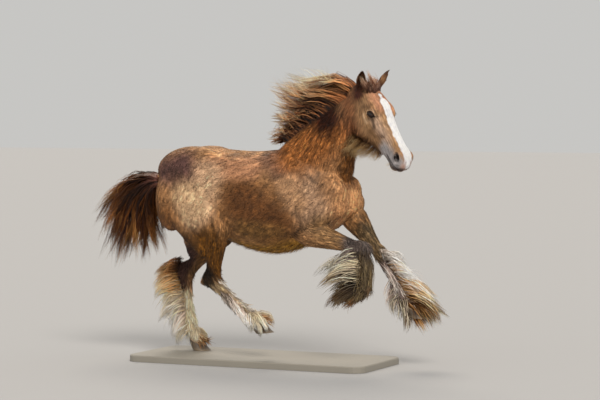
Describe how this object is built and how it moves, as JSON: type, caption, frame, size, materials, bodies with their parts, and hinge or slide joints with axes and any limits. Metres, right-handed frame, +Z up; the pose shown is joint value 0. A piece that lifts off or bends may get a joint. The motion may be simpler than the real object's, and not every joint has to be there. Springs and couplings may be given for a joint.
{
  "type": "gypsy vanner horse",
  "caption": "A young feathered cob horse as a life-size museum model at the canter, mane and tail blown back, on a plain flat base.",
  "frame": {"origin": "Centre of the underside of the bounding box, on the surface that the base stands on.", "axes": "The horse faces +X, its left side is +Y and +Z is up. X is the longest extent, from the blown tail to the raised left forefoot."},
  "size_m": [2.349, 0.66, 1.8336],
  "materials": {
    "coat": "short, slightly shaggy golden brown hair",
    "tail_hair": "long dark hair with orange brown tips",
    "feather": "long silky leg hair, dark to cream",
    "horn": "dull dark hoof horn",
    "eye": "wet dark brown",
    "base": "satin warm grey museum plinth paint"
  },
  "bodies": {
    "root": {"torso": "coat", "neck": "coat", "head": "coat", "tail": "tail_hair", "ear_left": "coat", "ear_right": "coat", "eye_left": "eye", "eye_right": "eye", "leg_fore_left_upper": "coat", "leg_fore_left_lower": "feather", "leg_fore_right_upper": "coat", "leg_fore_right_lower": "feather", "leg_hind_left_upper": "coat", "leg_hind_left_lower": "feather", "leg_hind_right_upper": "coat", "leg_hind_right_lower": "feather", "hoof_fore_left": "horn", "hoof_fore_right": "horn", "hoof_hind_left": "horn", "hoof_hind_right": "horn", "stand_base": "base"}
  },
  "joints": []
}
